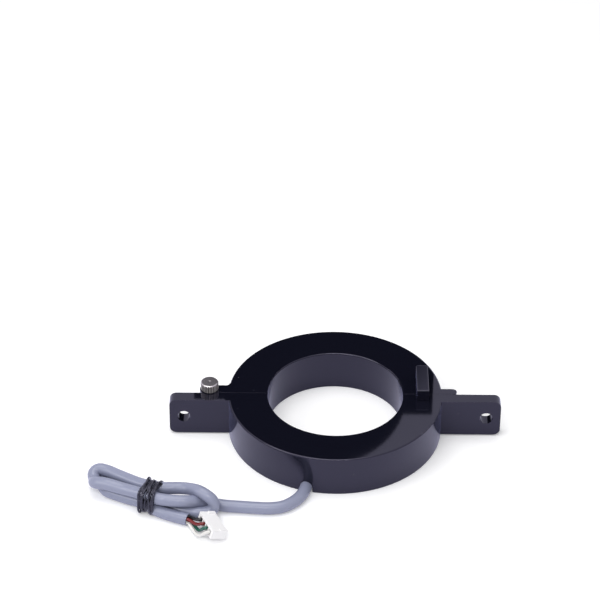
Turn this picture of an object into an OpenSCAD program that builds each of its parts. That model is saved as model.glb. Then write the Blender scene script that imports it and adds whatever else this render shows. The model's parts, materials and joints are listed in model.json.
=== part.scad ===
// Split ring current sensor. A hinged ring closes round a conductor, is latched by a
// thumbscrew, is fixed by two ears, and gives its signal on a tied grey cable.
// The bore axis is +Z, the base is at z = 0 and the halves part along the plane y = 0.

/* [Ring] */
// Bore that the conductor passes through
bore_d = 50; // [44:0.5:56]
// Width of the ring from the bore to its outer wall
ring_w = 14.5; // [13.5:0.1:17]
// Height of the ring along its bore
ring_h = 15.6; // [15:0.1:18]
// Moulded wall at the bore and on the outside
wall = 2; // [1.6:0.1:2.4]
// Thickness of the top face
roof = 2; // [1.6:0.1:2.4]
// Wall behind each split face
end_wall = 1.6; // [1.2:0.1:2]
// Round on the top edges
top_edge_r = 0.5; // [0.2:0.1:0.8]
// Round on the bottom edges
base_edge_r = 0.3; // [0.1:0.1:0.5]
// Gap between the halves when the ring is closed
split_gap = 0.16; // [0.1:0.02:0.24]
// Depth of the potting below the rim of the base
potting_recess = 0.4; // [0.2:0.1:0.8]

/* [Mounting ears] */
// Reach of each ear past the ring
ear_reach = 21.7; // [19:0.1:26]
// Thickness of each ear
ear_t = 4.7; // [3.5:0.1:6]
// Height of the ears' lower edge above the base
ear_lift = 0.6; // [0.2:0.1:1.2]
// Round on the ears' outer corners
ear_corner_r = 2.5; // [1:0.1:4]
// Screw hole through each ear
ear_hole_d = 4.8; // [3.2:0.1:5.5]
// Centre of the screw hole from the ear's end
ear_hole_inset = 5.3; // [4.5:0.1:7]

/* [Hinge] */
// Diameter of the hinge pin
pin_d = 1.6; // [1.2:0.1:2]
// Wall of the knuckles round the pin
knuckle_wall = 0.8; // [0.6:0.1:1.2]
// Centre of the pin outside the ring
pin_offset = 3.9; // [3.5:0.1:5]
// Height of the middle knuckle, which belongs to the front half
mid_knuckle_h = 4.8; // [3.5:0.1:6]
// Material left over the pin's top end
pin_cover = 2; // [1:0.1:3]
// Running clearance round the pin
pin_clearance = 0.05; // [0.03:0.01:0.08]
// Gap between knuckles
knuckle_gap = 0.25; // [0.15:0.05:0.4]

/* [Latch] */
// Thread diameter of the thumbscrew
screw_d = 3; // [2.5:0.1:3.4]
// Diameter of the thumbscrew's head
head_d = 6.6; // [5.5:0.1:7.2]
// Height of the thumbscrew's head
head_h = 3.3; // [2.4:0.1:4]
// Ribs of the knurl on the head
knurl_count = 32; // [20:1:40]
// Depth of the knurl
knurl_depth = 0.22; // [0.1:0.02:0.3]
// Chamfer on the head's rims
head_chamfer = 0.35; // [0.2:0.05:0.6]
// Centre of the screw outside the ring
screw_offset = 7; // [6:0.1:9]
// Centre of the screw behind the split
screw_back = 2.3; // [2:0.1:2.8]
// Radius of the boss round the screw
boss_r = 3.6; // [3.4:0.1:4.2]
// Depth of the latch tab's neck behind the split
tab_depth = 4.6; // [3.5:0.1:5.5]
// Fillet between the latch tab's neck and the ring
tab_fillet_r = 1.2; // [0.6:0.1:2]
// Thickness of the latch tab
tab_t = 6.4; // [5:0.1:7]
// Side clearance of the screw in the tab's slot
slot_clearance = 0.25; // [0.2:0.05:0.35]
// Outside diameter of the threaded insert
insert_d = 4.4; // [4:0.1:5]
// Length of the threaded insert
insert_l = 6; // [4:0.1:7]
// Running clearance of the screw in its insert
thread_clearance = 0.05; // [0.03:0.01:0.08]
// Gap under the screw's head and under the tab
seat_gap = 0.1; // [0.05:0.05:0.2]

/* [Alignment finger] */
// Width of the finger
finger_w = 4.4; // [3.5:0.1:6]
// Length of the finger
finger_l = 15.5; // [13:0.1:18]
// Height of the finger above the ring
finger_h = 4.6; // [3.5:0.1:6]
// Reach of the finger over the front half
finger_reach = 3.8; // [2:0.1:5]
// Gap between the finger and the front half
finger_gap = 0.2; // [0.1:0.05:0.4]
// Round on the finger's back corners
finger_corner_r = 0.9; // [0.4:0.1:1.5]
// Chamfer on the finger's front edge
finger_chamfer = 0.5; // [0.3:0.1:0.8]

/* [Core and circuit] */
// Resin between the core and the walls
core_margin = 1.5; // [1:0.1:2]
// Resin between the core and the roof
core_top_margin = 1; // [0.6:0.1:1.5]
// Gap in the front core for the sensing element
hall_gap = 2.1; // [1.9:0.1:3]
// Direction of that gap, seen from above
hall_angle = -80; // [-84:1:-76]
// Sensing element, across the core, through the gap and up
hall_size = [4, 1.5, 3.2];
// Pitch of the sensing element's legs
hall_leg_pitch = 1.27; // [1:0.01:1.4]
// Thickness of the sensing element's legs
hall_leg_t = 0.45; // [0.3:0.05:0.6]
// Thickness of the circuit board
board_t = 1; // [0.8:0.1:1.2]
// Resin between the board and the walls
board_margin = 0.6; // [0.4:0.1:1]
// Resin between the board and the core, and between the board and the cable
board_gap = 0.3; // [0.2:0.05:0.4]
// Angles that the board spans
board_span = [-118, -72];
// Amplifier chip, across the board, along it and down
chip_size = [3.9, 4.9, 1.5];
// Direction of the amplifier chip
chip_angle = -90; // [-91:1:-89]
// Capacitor, across the board, along it and down
capacitor_size = [2, 1.25, 1];
// Directions of the capacitors
capacitor_angles = [-98, -83, -78];

/* [Cable] */
// Outside diameter of the cable's jacket
cable_d = 4.4; // [4.1:0.1:4.7]
// Diameter of one insulated core
core_wire_d = 1.2; // [1:0.1:1.3]
// Direction in which the cable leaves the ring
cable_angle = -105.5; // [-107:0.5:-104]
// Clearance round the cable in its notch
cable_clearance = 0.1; // [0.05:0.05:0.2]
// Thickness of the band round the hank
tie_t = 0.6; // [0.4:0.1:1]
// Width of the band round the hank
tie_w = 5.6; // [4:0.1:7]

/* [Connector] */
// Ways in the connector
ways = 4; // [4:1:4]
// Pitch of the ways
way_pitch = 2.5; // [2.3:0.1:2.54]
// Housing beyond the outer ways on each side
way_end = 2.2; // [2:0.1:3]
// Length of the housing along its contacts
housing_l = 5.8; // [5.6:0.1:7.5]
// Height of the housing without its ribs
housing_h = 3.4; // [3.2:0.1:4.4]
// Height of the ribs on the housing
rib_h = 0.3; // [0.2:0.05:0.6]
// Width of the ribs on the housing
rib_w = 1.4; // [1:0.1:1.8]
// Square cavity of one way
cavity_w = 1.9; // [1.7:0.1:2]
// Wall under the ways
way_floor = 0.45; // [0.4:0.05:0.7]
// Side clearance of a contact in its cavity
contact_clearance = 0.1; // [0.05:0.05:0.15]

/* [Hidden] */
$fn = 64;
eps = 0.01;
far = 400;

bore_r = bore_d / 2;
ring_r = bore_r + ring_w;
mid_r = bore_r + ring_w / 2;
half_gap = split_gap / 2;

cavity_r1 = bore_r + wall;
cavity_r2 = ring_r - wall;
cavity_top = ring_h - roof;

ear_end = ring_r + ear_reach;
ear_h = ring_h - ear_lift;
ear_mid_z = ear_lift + ear_h / 2;
ear_hole_x = ear_end - ear_hole_inset;
ear_root_x = ring_r - wall / 2;

knuckle_r = pin_d / 2 + knuckle_wall;
pin_x = ring_r + pin_offset;
pin_y = half_gap + knuckle_r;
pin_l = ear_h - pin_cover;
pin_chamfer = 0.2;

screw_x = -(ring_r + screw_offset);
tab_z = ring_h - tab_t;
ledge_top = tab_z - seat_gap;
ledge_h = ledge_top - ear_lift;
screw_seat_z = ring_h + seat_gap;
screw_end_z = ledge_top - insert_l;
dimple_r = 0.9;
dimple_depth = 0.3;

cable_r = cable_d / 2;
floor_gap = 0.05;
cable_z = cable_r + floor_gap;
cable_sides = 10;
wire_sides = 8;
spline_steps = 3;

board_bottom = cable_z + cable_r + board_gap;
board_top = board_bottom + board_t;
core_bottom = board_top + board_gap;
core_top = cavity_top - core_top_margin;
core_r1 = cavity_r1 + core_margin;
core_r2 = cavity_r2 - core_margin;
core_mid_z = (core_bottom + core_top) / 2;

// The cable's free stretch: the first three points cross the wall, the rest lie on the table.
cable_direction = [cos(cable_angle), sin(cable_angle), 0];
cable_straight = 2.5;
cable_inner = mid_r * cable_direction + [0, 0, cable_z];
cable_exit = ring_r * cable_direction + [0, 0, cable_z];
cable_outer = (ring_r + cable_straight) * cable_direction + [0, 0, cable_z];
lead_route = concat(
    [cable_inner, cable_exit, cable_outer],
    [for (p = [[-13, -44.2], [-15.6, -47.2], [-19, -49.5], [-23.5, -50.4], [-28.5, -50.2],
               [-34, -49.7], [-39, -49.2], [-44.5, -48.8]]) [p.x, p.y, cable_z]]
);

// The tied hank: two round lobes and the neck that the band holds.
hank_left = [-82.8, -38.2];
hank_left_r = 6.5;
hank_neck = [-66.4, -47.5];
hank_neck_r = 4.6;
hank_neck_l = 8;
hank_right = [-49.6, -49.2];
hank_right_r = 6.6;
hank_top = 9;
hank_axis = -22;
neck_half = hank_neck_l / 2 * [cos(hank_axis), sin(hank_axis)];
tie_corner_r = 1.5;

// The last stretch of jacket, from the hank to its cut end.
tail_start = [-62.5, -52.6];
tail_end = [-52.4, -57];
tail_angle = atan2(tail_end.y - tail_start.y, tail_end.x - tail_start.x);
tail_l = norm(tail_end - tail_start);

// The cores of the cable leave the jacket in a square, two over two.
core_wire_step = 0.75;
core_wire_places = [[1, 1], [-1, 1], [1.15, -1], [-1.15, -1]];
core_wire_turn = [1.3, 1.3, 2.7, 2.7];

housing_w = (ways - 1) * way_pitch + 2 * way_end;
housing_at = [-48.95, -57.75];
housing_angle = 25;
housing_tilt = 20;
housing_lift = 1.1;
wire_side_z = housing_lift + housing_l * sin(housing_tilt);
way_z = way_floor + cavity_w / 2;
contact_w = cavity_w - 2 * contact_clearance;
contact_from = 2;
contact_to = housing_l - 0.8;
barrel_from = 0.8;
socket_w = 0.8;
socket_depth = 2.6;
window_from = 2.6;
window_l = 1.8;
window_w = 1.1;
rib_from = 3;
wire_bow = 0.6;
wire_steps = 4;
wire_via = [[-50.2, -58, 3.6], [-49.2, -60.6, 3.2], [-48.4, -61.6, 1.4], [-48.6, -64.6, 1.5]];

case_black = [0.07, 0.07, 0.08];
resin_black = [0.1, 0.1, 0.1];
core_steel = [0.45, 0.45, 0.47];
jacket_grey = [0.58, 0.58, 0.64];

// A square with its far corner rounded, used to shape edges in section.
module corner_waste(r) {
    difference() {
        square(r + eps);
        circle(r);
    }
}

module ring_section() {
    difference() {
        translate([bore_r, 0]) square([ring_w, ring_h]);
        translate([ring_r - top_edge_r, ring_h - top_edge_r]) corner_waste(top_edge_r);
        translate([bore_r + top_edge_r, ring_h - top_edge_r]) mirror([1, 0]) corner_waste(top_edge_r);
        translate([ring_r - base_edge_r, base_edge_r]) mirror([0, 1]) corner_waste(base_edge_r);
        translate([bore_r + base_edge_r, base_edge_r]) rotate(180) corner_waste(base_edge_r);
    }
}

// Everything on one side of the split: side is -1 for the front and 1 for the rear.
module half_space(side, from) {
    translate([-far / 2, side > 0 ? from : -far - from, -far / 2]) cube(far);
}

module half_cavity(side, from_z) {
    intersection() {
        rotate_extrude() translate([cavity_r1, from_z])
            square([cavity_r2 - cavity_r1, cavity_top - from_z]);
        half_space(side, half_gap + end_wall);
    }
}

module half_core(side) {
    intersection() {
        rotate_extrude() translate([core_r1, core_bottom])
            square([core_r2 - core_r1, core_top - core_bottom]);
        half_space(side, half_gap);
    }
}

module half_shell(side) {
    difference() {
        intersection() {
            rotate_extrude() ring_section();
            half_space(side, half_gap);
        }
        half_cavity(side, -eps);
        half_core(side);
    }
}

// Plan of the latch tab, from the ring's wall out to a round end, with a fillet behind its neck.
module tab_plan() {
    meet_x = -sqrt(ring_r * ring_r - tab_depth * tab_depth);
    intersection() {
        union() {
            translate([screw_x, screw_back]) circle(boss_r);
            translate([screw_x, 0]) square([-screw_x - ear_root_x, tab_depth]);
            difference() {
                translate([meet_x - tab_fillet_r, 0])
                    square([tab_fillet_r + wall / 2, tab_depth + tab_fillet_r]);
                translate([meet_x - tab_fillet_r, tab_depth + tab_fillet_r]) circle(tab_fillet_r);
            }
        }
        translate([-far / 2, half_gap]) square(far);
    }
}

module ear_section() {
    difference() {
        translate([ear_root_x, ear_lift]) square([ear_end - ear_root_x, ear_h]);
        translate([ear_end - ear_corner_r, ring_h - ear_corner_r]) corner_waste(ear_corner_r);
        translate([ear_end - ear_corner_r, ear_lift + ear_corner_r]) mirror([0, 1])
            corner_waste(ear_corner_r);
        translate([ear_hole_x, ear_mid_z]) circle(d = ear_hole_d);
    }
}

module ear() {
    translate([0, -half_gap, 0]) rotate([90, 0, 0]) linear_extrude(ear_t - half_gap) ear_section();
}

// The front half's ledge under the latch tab, which holds the threaded insert.
module latch_ledge() {
    difference() {
        translate([0, 0, ear_lift]) linear_extrude(ledge_h) {
            translate([screw_x, screw_back]) circle(boss_r);
            translate([screw_x - boss_r, -ear_t / 2]) square([2 * boss_r, ear_t / 2 + screw_back]);
        }
        translate([screw_x, screw_back, screw_end_z]) cylinder(d = insert_d, h = insert_l + eps);
    }
}

module front_knuckle() {
    difference() {
        translate([0, 0, ear_mid_z - mid_knuckle_h / 2]) linear_extrude(mid_knuckle_h) {
            translate([pin_x, pin_y]) circle(knuckle_r);
            translate([pin_x - knuckle_r, -ear_t / 2]) square([2 * knuckle_r, ear_t / 2 + pin_y]);
        }
        translate([pin_x, pin_y, 0]) cylinder(d = pin_d, h = ring_h);
    }
}

// Notch in the rim that the cable is laid in, open to the base.
module cable_notch(clearance) {
    notch_d = cable_d + 2 * clearance;
    rotate([0, 0, cable_angle]) {
        translate([mid_r, 0, cable_z]) rotate([0, 90, 0]) cylinder(d = notch_d, h = ring_w);
        translate([mid_r, -notch_d / 2, -1]) cube([ring_w, notch_d, cable_z + 1]);
    }
}

module front_case() {
    color(case_black) difference() {
        union() {
            half_shell(-1);
            ear();
            mirror([1, 0, 0]) ear();
            latch_ledge();
            front_knuckle();
        }
        cable_notch(cable_clearance);
    }
}

module latch_tab() {
    slot_r = screw_d / 2 + slot_clearance;
    translate([0, 0, tab_z]) linear_extrude(tab_t) difference() {
        tab_plan();
        translate([screw_x, screw_back]) circle(slot_r);
        translate([screw_x - slot_r, -eps]) square([2 * slot_r, screw_back]);
    }
}

module rear_knuckles() {
    slot_h = mid_knuckle_h + 2 * knuckle_gap;
    difference() {
        translate([0, 0, ear_lift]) linear_extrude(ear_h) {
            translate([pin_x, pin_y]) circle(knuckle_r);
            translate([ear_root_x, half_gap]) square([pin_x - ear_root_x, 2 * knuckle_r]);
        }
        translate([pin_x - knuckle_r - knuckle_gap, -far / 2, ear_mid_z - slot_h / 2])
            cube([far, far, slot_h]);
        translate([pin_x, pin_y, ear_lift - eps])
            cylinder(d = pin_d + 2 * pin_clearance, h = pin_l + pin_clearance);
    }
}

module finger_plan() {
    difference() {
        translate([mid_r - finger_w / 2, -finger_reach]) square([finger_w, finger_l]);
        translate([mid_r + finger_w / 2 - finger_corner_r, finger_l - finger_reach - finger_corner_r])
            corner_waste(finger_corner_r);
        translate([mid_r - finger_w / 2 + finger_corner_r, finger_l - finger_reach - finger_corner_r])
            mirror([1, 0]) corner_waste(finger_corner_r);
    }
}

// Bar on top of the rear half that runs out over the front half and lines the halves up.
module alignment_finger() {
    difference() {
        translate([0, 0, ring_h - eps]) linear_extrude(finger_h + eps) finger_plan();
        translate([mid_r - finger_w, -finger_reach - eps, ring_h - roof])
            cube([2 * finger_w, finger_reach + half_gap + eps, roof + finger_gap]);
        translate([mid_r - finger_w, -finger_reach, ring_h + finger_h]) rotate([45, 0, 0])
            cube([2 * finger_w, finger_chamfer * sqrt(2), finger_chamfer * sqrt(2)], center = false);
    }
}

module rear_case() {
    color(case_black) {
        half_shell(1);
        latch_tab();
        rear_knuckles();
        alignment_finger();
    }
}

// One cable core inside the ring: out of the jacket, then up to the board.
module inner_wire(i) {
    place = core_wire_places[i] * core_wire_step;
    rotate([0, 0, cable_angle]) translate([mid_r, place.x, cable_z + place.y]) {
        rotate([0, -90, 0]) cylinder(d = core_wire_d, h = core_wire_turn[i]);
        translate([-core_wire_turn[i], 0, 0]) {
            sphere(d = core_wire_d);
            cylinder(d = core_wire_d, h = board_bottom - cable_z - place.y);
        }
    }
}

module front_potting() {
    color(resin_black) difference() {
        half_cavity(-1, potting_recess);
        half_core(-1);
        sensor_board();
        amplifier_chip();
        board_capacitors();
        hall_element();
        cable_notch(cable_clearance);
        for (i = [0 : ways - 1]) inner_wire(i);
    }
    color(resin_black) difference() {
        hall_gap_fill();
        hall_element();
    }
}

// Resin in the core's gap round the sensing element.
module hall_gap_fill() {
    rotate([0, 0, hall_angle]) translate([core_r1, -hall_gap / 2, core_bottom])
        cube([core_r2 - core_r1, hall_gap, core_top - core_bottom]);
}

module rear_potting() {
    color(resin_black) difference() {
        half_cavity(1, potting_recess);
        half_core(1);
    }
}

module front_core_left() {
    color(core_steel) intersection() {
        half_core(-1);
        rotate([0, 0, hall_angle]) half_space(-1, hall_gap / 2);
    }
}

module front_core_right() {
    color(core_steel) intersection() {
        half_core(-1);
        rotate([0, 0, hall_angle]) half_space(1, hall_gap / 2);
    }
}

module rear_core() {
    color(core_steel) half_core(1);
}

module hall_element() {
    color("dimgray") rotate([0, 0, hall_angle]) translate([(core_r1 + core_r2) / 2, 0, core_mid_z]) {
        cube(hall_size, center = true);
        for (k = [-1 : 1])
            translate([k * hall_leg_pitch - hall_leg_t / 2, -hall_leg_t / 2, board_top - core_mid_z])
                cube([hall_leg_t, hall_leg_t, core_mid_z - board_top]);
    }
}

module sensor_board() {
    color("darkgreen") intersection() {
        rotate_extrude() translate([cavity_r1 + board_margin, board_bottom])
            square([cavity_r2 - cavity_r1 - 2 * board_margin, board_t]);
        rotate([0, 0, board_span[0]]) half_space(1, 0);
        rotate([0, 0, board_span[1]]) half_space(-1, 0);
    }
}

// A chip under the board, with its size across the board, along it and down.
module under_board(angle, size) {
    rotate([0, 0, angle]) translate([mid_r - size.x / 2, -size.y / 2, board_bottom - size.z]) cube(size);
}

module amplifier_chip() {
    color("black") under_board(chip_angle, chip_size);
}

module board_capacitors() {
    color("peru") for (angle = capacitor_angles) under_board(angle, capacitor_size);
}

// Half the section of a round bar with both of its rims chamfered.
module chamfered_half(r, h, chamfer) {
    polygon([[0, 0], [r - chamfer, 0], [r, chamfer], [r, h - chamfer], [r - chamfer, h], [0, h]]);
}

module hinge_pin() {
    color("silver") translate([pin_x, pin_y, ear_lift]) rotate_extrude()
        chamfered_half(pin_d / 2, pin_l, pin_chamfer);
}

function knurl_points() = [for (k = [0 : 2 * knurl_count - 1])
    (head_d / 2 - (k % 2) * knurl_depth) * [cos(180 * k / knurl_count), sin(180 * k / knurl_count)]];

module thumbscrew_head() {
    difference() {
        intersection() {
            linear_extrude(head_h) polygon(knurl_points());
            rotate_extrude() chamfered_half(head_d / 2, head_h, head_chamfer);
        }
        translate([0, 0, head_h + dimple_r - dimple_depth]) sphere(dimple_r);
    }
}

module thumbscrew() {
    color([0.6, 0.58, 0.56]) translate([screw_x, screw_back, 0]) {
        translate([0, 0, screw_seat_z]) thumbscrew_head();
        translate([0, 0, screw_end_z]) cylinder(d = screw_d, h = screw_seat_z - screw_end_z + eps);
    }
}

module threaded_insert() {
    color("goldenrod") translate([screw_x, screw_back, screw_end_z]) difference() {
        cylinder(d = insert_d, h = insert_l);
        translate([0, 0, -eps]) cylinder(d = screw_d + 2 * thread_clearance, h = insert_l + 2 * eps);
    }
}

// A smooth curve through hand-placed points.
function spline_point(p, i, t) =
    let (a = p[max(i - 1, 0)], b = p[i], c = p[i + 1], d = p[min(i + 2, len(p) - 1)])
    0.5 * (2 * b + (c - a) * t + (2 * a - 5 * b + 4 * c - d) * t * t + (3 * b - a - 3 * c + d) * t * t * t);

function smooth_route(p, steps) = concat(
    [for (i = [0 : len(p) - 2], k = [0 : steps - 1]) spline_point(p, i, k / steps)],
    [p[len(p) - 1]]
);

function unit(v) = v / norm(v);

// A round tube swept along a route, with one ring of points at each of the route's points.
module tube(route, r, sides) {
    n = len(route);
    rings = [for (i = [0 : n - 1])
        let (along = unit(route[min(i + 1, n - 1)] - route[max(i - 1, 0)]),
             across = unit(cross(along, [0, 0, 1])),
             up = cross(across, along))
        for (k = [0 : sides - 1])
            route[i] + r * (cos(360 * k / sides) * across + sin(360 * k / sides) * up)];
    walls = [for (i = [0 : n - 2], k = [0 : sides - 1])
        let (k2 = (k + 1) % sides)
        [i * sides + k, i * sides + k2, (i + 1) * sides + k2, (i + 1) * sides + k]];
    first_cap = [for (k = [sides - 1 : -1 : 0]) k];
    last_cap = [for (k = [0 : sides - 1]) (n - 1) * sides + k];
    polyhedron(rings, concat(walls, [first_cap, last_cap]), convexity = 6);
}

module cable_lead() {
    color(jacket_grey) tube(smooth_route(lead_route, spline_steps), cable_r, cable_sides);
}

module hank_plan() {
    hull() {
        translate(hank_left) circle(hank_left_r);
        translate(hank_neck - neck_half) circle(hank_neck_r);
    }
    hull() {
        translate(hank_neck - neck_half) circle(hank_neck_r);
        translate(hank_neck + neck_half) circle(hank_neck_r);
    }
    hull() {
        translate(hank_neck + neck_half) circle(hank_neck_r);
        translate(hank_right) circle(hank_right_r);
    }
}

// Places its children on the hank's neck, with x along the strands.
module on_neck() {
    translate([hank_neck.x, hank_neck.y, 0]) rotate([0, 0, hank_axis]) children();
}

module cable_hank() {
    color(jacket_grey) {
        difference() {
            translate([0, 0, floor_gap]) linear_extrude(hank_top - floor_gap) hank_plan($fn = 32);
            on_neck() translate([-tie_w / 2, -far / 2, -far + tie_t]) cube([tie_w, far, far]);
        }
        translate([tail_start.x, tail_start.y, cable_z]) rotate([0, 90, tail_angle])
            cylinder(r = cable_r, h = tail_l);
    }
}

module tie_section() {
    w = 2 * hank_neck_r + 2 * tie_t;
    h = hank_top + tie_t;
    r = tie_corner_r;
    difference() {
        translate([-w / 2, 0]) square([w, h]);
        for (side = [0, 1]) mirror([side, 0]) {
            translate([w / 2 - r, h - r]) corner_waste(r);
            translate([w / 2 - r, r]) mirror([0, 1]) corner_waste(r);
        }
        translate([-hank_neck_r, tie_t]) square([2 * hank_neck_r, hank_top - tie_t]);
    }
}

module cable_tie() {
    color([0.08, 0.08, 0.09]) on_neck() translate([-tie_w / 2, 0, 0]) rotate([90, 0, 90])
        linear_extrude(tie_w) tie_section();
}

// A place on the connector, from its corner: along its contacts, across its ways and up.
function on_housing(along, across, up) =
    let (level = along * cos(housing_tilt) + up * sin(housing_tilt))
    [housing_at.x + level * cos(housing_angle) + across * sin(housing_angle),
     housing_at.y + level * sin(housing_angle) - across * cos(housing_angle),
     wire_side_z - along * sin(housing_tilt) + up * cos(housing_tilt)];

function way_across(i) = way_end + i * way_pitch;

// One cable core from the cut jacket to its way in the connector.
module outer_wire(i) {
    place = core_wire_places[i] * core_wire_step;
    start = [tail_end.x - place.x * sin(tail_angle),
             tail_end.y + place.x * cos(tail_angle),
             cable_z + place.y];
    leave = start + wire_bow * [cos(tail_angle), sin(tail_angle), 0];
    arrive = on_housing(-wire_bow, way_across(i), way_z);
    end = on_housing(barrel_from, way_across(i), way_z);
    through = [start, leave, wire_via[i], arrive, end];
    bend = [for (j = [1, 2], k = [0 : wire_steps - 1]) spline_point(through, j, k / wire_steps)];
    tube(concat([start], bend, [arrive, end]), core_wire_d / 2, wire_sides);
}

module black_wire() {
    color([0.05, 0.05, 0.05]) {
        outer_wire(0);
        inner_wire(0);
    }
}

module red_wire() {
    color([0.75, 0.08, 0.06]) {
        outer_wire(1);
        inner_wire(1);
    }
}

module green_wire() {
    color([0.1, 0.45, 0.35]) {
        outer_wire(2);
        inner_wire(2);
    }
}

module white_wire() {
    color([0.9, 0.9, 0.88]) {
        outer_wire(3);
        inner_wire(3);
    }
}

// Places its children on the connector, with x along the contacts and y across the ways.
module on_connector() {
    translate([housing_at.x, housing_at.y, wire_side_z]) rotate([0, housing_tilt, housing_angle])
        mirror([0, 1, 0]) children();
}

module connector_housing() {
    color("white") on_connector() difference() {
        union() {
            cube([housing_l, housing_w, housing_h]);
            for (y = [0, housing_w - rib_w])
                translate([rib_from, y, housing_h - eps]) cube([housing_l - rib_from, rib_w, rib_h + eps]);
        }
        for (i = [0 : ways - 1]) translate([0, way_across(i), way_z]) {
            translate([-eps, -cavity_w / 2, -cavity_w / 2]) cube([housing_l + 2 * eps, cavity_w, cavity_w]);
            translate([window_from, -window_w / 2, -housing_h]) cube([window_l, window_w, housing_h]);
        }
    }
}

// One contact, from its crimped barrel to its socket, with its way's axis along x.
module contact() {
    difference() {
        union() {
            translate([contact_from, -contact_w / 2, -contact_w / 2])
                cube([contact_to - contact_from, contact_w, contact_w]);
            translate([barrel_from, 0, 0]) rotate([0, 90, 0])
                cylinder(d = core_wire_d, h = contact_from - barrel_from + eps);
        }
        translate([contact_to - socket_depth, -socket_w / 2, -socket_w / 2])
            cube([socket_depth + eps, socket_w, socket_w]);
    }
}

module connector_contacts() {
    color("lightgray") on_connector()
        for (i = [0 : ways - 1]) translate([0, way_across(i), way_z]) contact();
}

front_case();
rear_case();
front_potting();
rear_potting();
front_core_left();
front_core_right();
rear_core();
hall_element();
sensor_board();
amplifier_chip();
board_capacitors();
hinge_pin();
thumbscrew();
threaded_insert();
cable_lead();
cable_hank();
cable_tie();
black_wire();
red_wire();
green_wire();
white_wire();
connector_housing();
connector_contacts();
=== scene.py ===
"""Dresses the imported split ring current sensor: its cable, tie, wires, finishes and studio."""

import json
import math

import bmesh
import bpy
from bpy.props import FloatProperty, FloatVectorProperty, IntProperty, PointerProperty
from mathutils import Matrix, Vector


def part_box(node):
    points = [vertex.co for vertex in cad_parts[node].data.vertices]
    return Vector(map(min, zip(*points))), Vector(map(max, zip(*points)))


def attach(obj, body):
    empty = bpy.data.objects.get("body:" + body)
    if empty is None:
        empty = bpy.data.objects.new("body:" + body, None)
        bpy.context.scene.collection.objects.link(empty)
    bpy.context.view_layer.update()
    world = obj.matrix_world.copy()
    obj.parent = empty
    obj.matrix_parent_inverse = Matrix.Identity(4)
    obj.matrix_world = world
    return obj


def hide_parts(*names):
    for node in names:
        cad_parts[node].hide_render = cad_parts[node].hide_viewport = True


bl_info = {
    "name": "Split Ring Current Sensor",
    "version": (1, 0, 0),
    "blender": (4, 5, 0),
    "location": "View3D > Sidebar > Sensor",
    "description": "Adds the cable, tie, wires, finishes and studio of a split ring current sensor",
    "category": "Object",
}

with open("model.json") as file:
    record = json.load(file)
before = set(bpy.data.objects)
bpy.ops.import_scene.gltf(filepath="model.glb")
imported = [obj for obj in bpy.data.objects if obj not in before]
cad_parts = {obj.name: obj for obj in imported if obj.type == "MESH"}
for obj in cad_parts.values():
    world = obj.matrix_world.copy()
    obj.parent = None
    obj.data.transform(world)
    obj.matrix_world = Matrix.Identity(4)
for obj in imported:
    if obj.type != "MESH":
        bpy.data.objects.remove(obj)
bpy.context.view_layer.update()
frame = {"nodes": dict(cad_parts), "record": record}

MM = 0.001

# The ring's top face and the thumbscrew, from the frame, with the ribs of its head, which carry a painted
# highlight and painted shade, and the flat of its head, round which the rim carries a painted highlight.
RING_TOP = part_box("front_case")[1].z
SCREW_LOW, SCREW_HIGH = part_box("thumbscrew")
SCREW_AXIS = (SCREW_LOW + SCREW_HIGH) / 2
HEAD_RIBS = 32
HEAD_FLAT = 2.95 * MM

# The finger that reaches over the front half: its middle in plan, half its width and length, its top.
FINGER_MIDDLE = (32.25 * MM, 3.95 * MM)
FINGER_HALF = (2.2 * MM, 7.75 * MM)
FINGER_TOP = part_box("rear_case")[1].z

# The cable's centreline, in millimetres: out of the ring, along the table, through the tied
# folds of the hank and out to the cut end.
LEAD_ROUTE = [
    (-10.2, -36.6, 2.25), (-10.6, -38.1, 2.25), (-11.4, -41, 2.25), (-13, -44.2, 2.25),
    (-15.6, -47.2, 2.25), (-19, -49.5, 2.25), (-23.5, -50.4, 2.25), (-28.5, -50.2, 2.25),
    (-34, -49.7, 2.25), (-39, -49.2, 2.25), (-43, -48.6, 2.4), (-46, -48.8, 3.3),
]
UPPER_FRONT_RUN = [
    (-48.7, -50, 4.8), (-51, -51.5, 6.1), (-53.5, -52.4, 6.8), (-58, -52.4, 7), (-63, -51.5, 7.1),
    (-67.2, -49.6, 7.1), (-71, -47.7, 6.9), (-75.8, -45.4, 6.6), (-80.4, -43.4, 6.6), (-83.2, -42.3, 6.5),
]
UPPER_LEFT_FOLD = [
    (-85.4, -41.5, 6.15), (-86.4, -40.3, 5.4), (-86.6, -39, 4.8), (-86.7, -37.6, 4.65),
    (-87.2, -36.3, 5.1), (-86.9, -34.9, 5.9), (-85.3, -34.1, 6.4),
]
UPPER_BACK_RUN = [
    (-82.6, -34.8, 6.4), (-79.3, -36.8, 6.4), (-74.6, -39.8, 6.5), (-70, -42.7, 6.8), (-65.6, -44.9, 7.3),
    (-62, -45.5, 7.2), (-58.5, -45.2, 6.9), (-55.5, -45, 6.8), (-52.7, -45.8, 7.2),
]
RIGHT_FOLD = [
    (-50.2, -47.5, 8.1), (-47.9, -49.6, 8.8), (-45.6, -51.2, 8.3), (-43.8, -52, 7), (-43.1, -52.4, 5.2),
    (-43.8, -52.7, 3.5), (-45.6, -52.9, 2.5),
]
LOWER_BACK_RUN = [
    (-49, -53.2, 2.25), (-51.5, -52.8, 2.25), (-54.5, -51.7, 2.25), (-58.5, -49.5, 2.3),
    (-62, -47.5, 2.5), (-65.4, -45.2, 2.9), (-70, -41.7, 2.4), (-74.6, -38, 2.25), (-77.2, -35.4, 2.25),
]
LOWER_LEFT_FOLD = [
    (-79.8, -33.2, 2.25), (-82.6, -33.4, 2.25), (-84.1, -35.4, 2.25), (-83.7, -38.4, 2.25),
    (-82.1, -41.2, 2.25), (-79.5, -42.8, 2.25),
]
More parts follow.
